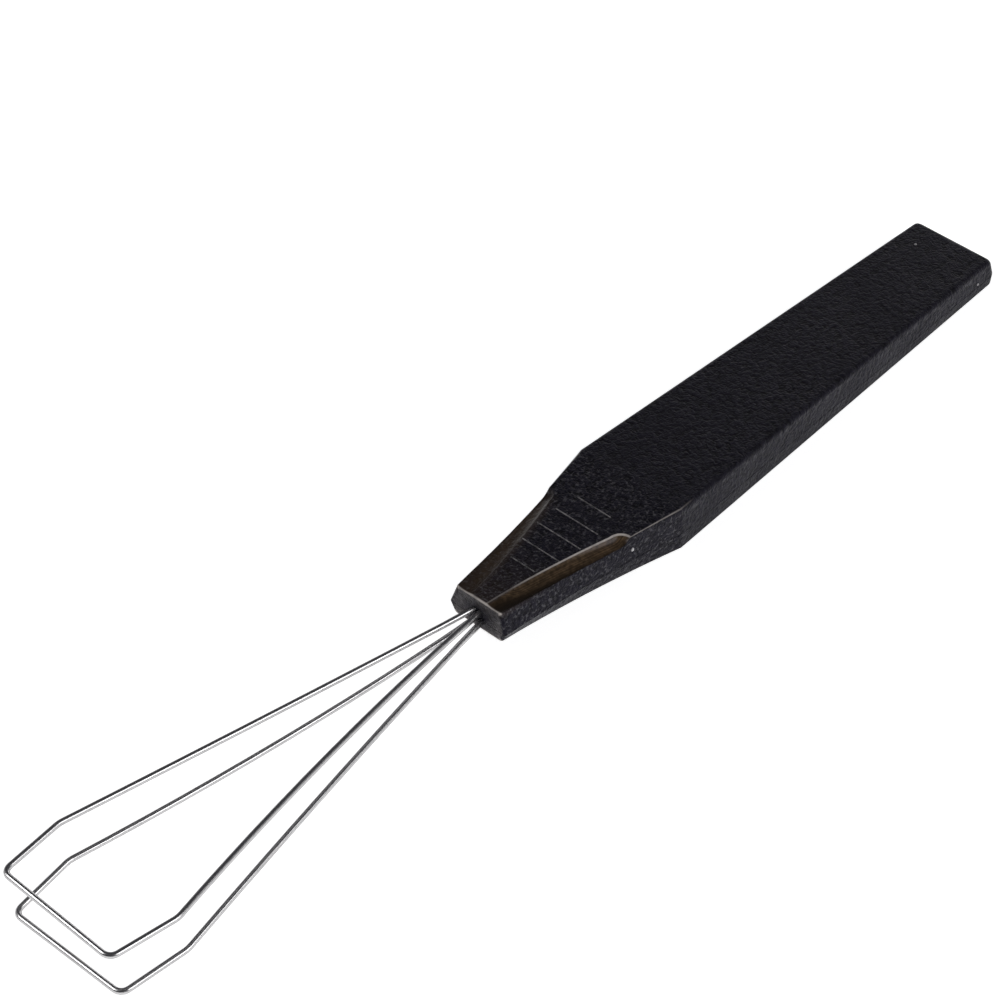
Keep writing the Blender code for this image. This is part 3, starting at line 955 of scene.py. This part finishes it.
# Each wire's turn about X, Y and Z in degrees where it leaves the mouth, and the inward bow of
# its far and its near leg
WIRE_BENDS = {
    "upper": ((0.62, 1.11, -0.87), (0.1 * MM, 0.86 * MM)),
    "lower": ((-1.96, -2.9, -0.25), (0.89 * MM, 0.31 * MM)),
}
LEG_STEPS = 12
LEG_RADIUS = 4 * MM
MOUTH_RADIUS = 2 * MM
MOUTH_BEND_DEPTH = 0.5 * MM


def loop_corners(wires, far_bow, near_bow):
    """Corners of a loop with their bend radii, far leg first; the legs bow slightly inwards."""
    corners = []
    for side, bow in ((1, far_bow), (-1, near_bow)):
        leg = []
        for step in range(1, LEG_STEPS):
            t = step / LEG_STEPS
            width = lerp(wires.leg_spread, wires.knee_half_width, t) - 4 * bow * t * (1 - t)
            leg.append(((-wires.knee_reach * t, side * width), LEG_RADIUS))
        leg.append(((-wires.knee_reach, side * wires.knee_half_width), wires.knee_radius))
        leg.append(((-wires.bar_reach, side * wires.bar_half_width), wires.bar_radius))
        corners += leg if side > 0 else leg[::-1]
    return corners


def wire_path(wires, exit_point, turn, bows):
    """Points and bend radii of a whole wire, from one clamped tail round the loop to the other."""
    tails = []
    for side in (1, -1):
        y = exit_point.y + side * wires.leg_spread
        hook = side * (wires.leg_spread + wires.tail_hook)
        tails.append(
            [
                (Vector((wires.tail_depth, hook, exit_point.z)), 0.0),
                (Vector((wires.tail_depth, y, exit_point.z)), wires.tail_radius),
                (Vector((MOUTH_BEND_DEPTH, y, exit_point.z)), MOUTH_RADIUS),
            ]
        )
    loop = [
        (exit_point + turn @ Vector((x, y, 0)), radius) for (x, y), radius in loop_corners(wires, *bows)
    ]
    return tails[0] + loop + tails[1][::-1]


class PULLER_OT_wires(bpy.types.Operator):
    """Builds the two sprung wires, each in one piece from tail to tail"""

    bl_idname = "puller.wires"
    bl_label = "Wires"

    def execute(self, context):
        scene = context.scene
        sizes, wires = scene.puller_handle, scene.puller_wires
        material = drawn_steel(scene.puller_colours)
        tree = wire_tree()
        place = tool_axis(sizes)
        for label, (angles, bows) in WIRE_BENDS.items():
            about_x, about_y, about_z = (
                Matrix.Rotation(math.radians(angle), 3, axis) for angle, axis in zip(angles, "XYZ")
            )
            turn = about_z @ about_y @ about_x
            path = wire_path(wires, mouth_point(f"{label}_loop", sizes), turn, bows)
            mesh = bpy.data.meshes.new(f"{label}_wire")
            edges = [(i, i + 1) for i in range(len(path) - 1)]
            mesh.from_pydata([point for point, _ in path], edges, [])
            bend = mesh.attributes.new("bend", "FLOAT", "POINT")
            bend.data.foreach_set("value", [radius for _, radius in path])
            values = {"Diameter": wires.diameter, "Material": material}
            piece = grown_piece(mesh, tree, values, place)
            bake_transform(piece)
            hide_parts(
                f"{label}_wire_loop", f"{label}_wire_tail_near", f"{label}_wire_tail_far"
            )
        return {"FINISHED"}


# ---------------------------------------------------------------- studio


FLOOR_HALF_SIZE = 1.5
FLOOR_HEIGHT = -0.2 * MM
FLOOR_GLOW = 0.74
BACKDROP_RADIUS = 1.45
BACKDROP_DEPTH = 0.32
BACKDROP_HEIGHT = 0.15
BACKDROP_GLOW = 0.1
SURROUND = (0.062, 0.062, 0.068, 1)

# Name, place, size and power in watts; each light faces the middle of the object
SOFTBOXES = (
    ("near_softbox", (0.13, -0.5, 0.36), (0.42, 0.3), 1.7),
    ("left_softbox", (-0.34, 0.3, 0.42), (0.26, 0.26), 1.3),
    ("end_strip", (0.6, 0.25, 0.22), (0.4, 0.12), 0.4),
)

# The camera, placed in the tool's own axes
LENS = 122.4
SENSOR_WIDTH = 36.0
EYE = (-192.3 * MM, -180.4 * MM, 262.3 * MM)
AZIMUTH, ELEVATION, ROLL = -47.334, 42.954, -0.07


def studio_surface(name, work, height, glow):
    """An object of studio paper, made from a bmesh."""
    mesh = bpy.data.meshes.new(name)
    work.to_mesh(mesh)
    work.free()
    mesh.materials.append(studio_paper(name, bpy.context.scene.puller_colours, glow))
    mesh.shade_smooth()
    surface = new_object(name, mesh)
    surface.location = (0, 0, height)
    return surface


def softbox(name, place, size, power):
    """A soft rectangular light that faces the middle of the object."""
    data = bpy.data.lights.new(name, "AREA")
    data.shape = "RECTANGLE"
    data.size, data.size_y = size
    data.energy = power
    light = new_object(name, data)
    light.location = place
    light.rotation_euler = (-Vector(place)).to_track_quat("-Z", "Y").to_euler()


def camera_turn(azimuth, elevation, roll):
    """The turn of a camera that looks back at the origin from an azimuth and an elevation."""
    level = math.cos(elevation)
    back = Vector((math.sin(azimuth) * level, -math.cos(azimuth) * level, math.sin(elevation)))
    right = Vector((0, 0, 1)).cross(back).normalized()
    up = back.cross(right)
    turned_right = right * math.cos(roll) + up * math.sin(roll)
    turned_up = up * math.cos(roll) - right * math.sin(roll)
    return Matrix((turned_right, turned_up, back)).transposed().to_4x4()


class PULLER_OT_studio(bpy.types.Operator):
    """Sets the floor, the backdrop, the soft lights and the camera"""

    bl_idname = "puller.studio"
    bl_label = "Studio"

    def execute(self, context):
        scene = context.scene
        sheet = bmesh.new()
        bmesh.ops.create_grid(sheet, x_segments=1, y_segments=1, size=FLOOR_HALF_SIZE)
        floor = studio_surface("studio_floor", sheet, FLOOR_HEIGHT, FLOOR_GLOW)
        ring = bmesh.new()
        bmesh.ops.create_cone(
            ring, cap_ends=False, segments=96, radius1=BACKDROP_RADIUS, radius2=BACKDROP_RADIUS,
            depth=BACKDROP_DEPTH,
        )
        bmesh.ops.reverse_faces(ring, faces=ring.faces)
        backdrop = studio_surface("studio_backdrop", ring, BACKDROP_HEIGHT, BACKDROP_GLOW)

        world = bpy.data.worlds.new("studio")
        world.use_nodes = True
        world.node_tree.nodes["Background"].inputs["Color"].default_value = SURROUND
        scene.world = world
        scene.view_settings.view_transform = "Standard"
        for values in SOFTBOXES:
            softbox(*values)

        data = bpy.data.cameras.new("camera")
        data.sensor_width = SENSOR_WIDTH
        data.lens = LENS
        camera = new_object("camera", data)
        turn = camera_turn(math.radians(AZIMUTH), math.radians(ELEVATION), math.radians(ROLL))
        camera.matrix_world = tool_axis(scene.puller_handle) @ Matrix.Translation(Vector(EYE)) @ turn
        scene.camera = camera
        return {"FINISHED"}


# ---------------------------------------------------------------- add-on


class PULLER_PT_panel(bpy.types.Panel):
    """Lists the builders and the sizes and colours that they use"""

    bl_label = "Wire Keycap Puller"
    bl_idname = "PULLER_PT_panel"
    bl_space_type = "VIEW_3D"
    bl_region_type = "UI"
    bl_category = "Puller"

    def draw(self, context):
        for operator in OPERATORS:
            self.layout.operator(operator.bl_idname)
        for name, group in GROUPS.items():
            box = self.layout.box()
            box.label(text=group.__name__)
            for field in group.__annotations__:
                box.prop(getattr(context.scene, name), field)


GROUPS = {
    "puller_handle": HandleSizes,
    "puller_scoops": ScoopSizes,
    "puller_ribs": RibSizes,
    "puller_pips": PipSizes,
    "puller_wires": WireSizes,
    "puller_colours": Colours,
}
OPERATORS = (PULLER_OT_handle, PULLER_OT_ribs, PULLER_OT_pips, PULLER_OT_wires, PULLER_OT_studio)


def register():
    for group in GROUPS.values():
        bpy.utils.register_class(group)
    for operator in OPERATORS:
        bpy.utils.register_class(operator)
    bpy.utils.register_class(PULLER_PT_panel)
    for name, group in GROUPS.items():
        setattr(bpy.types.Scene, name, PointerProperty(type=group))


def unregister():
    for name in GROUPS:
        delattr(bpy.types.Scene, name)
    bpy.utils.unregister_class(PULLER_PT_panel)
    for operator in reversed(OPERATORS):
        bpy.utils.unregister_class(operator)
    for group in reversed(GROUPS.values()):
        bpy.utils.unregister_class(group)


def main():
    register()
    bpy.ops.puller.handle()
    bpy.ops.puller.ribs()
    bpy.ops.puller.pips()
    bpy.ops.puller.wires()
    bpy.ops.puller.studio()


if __name__ == "__main__":
    main()
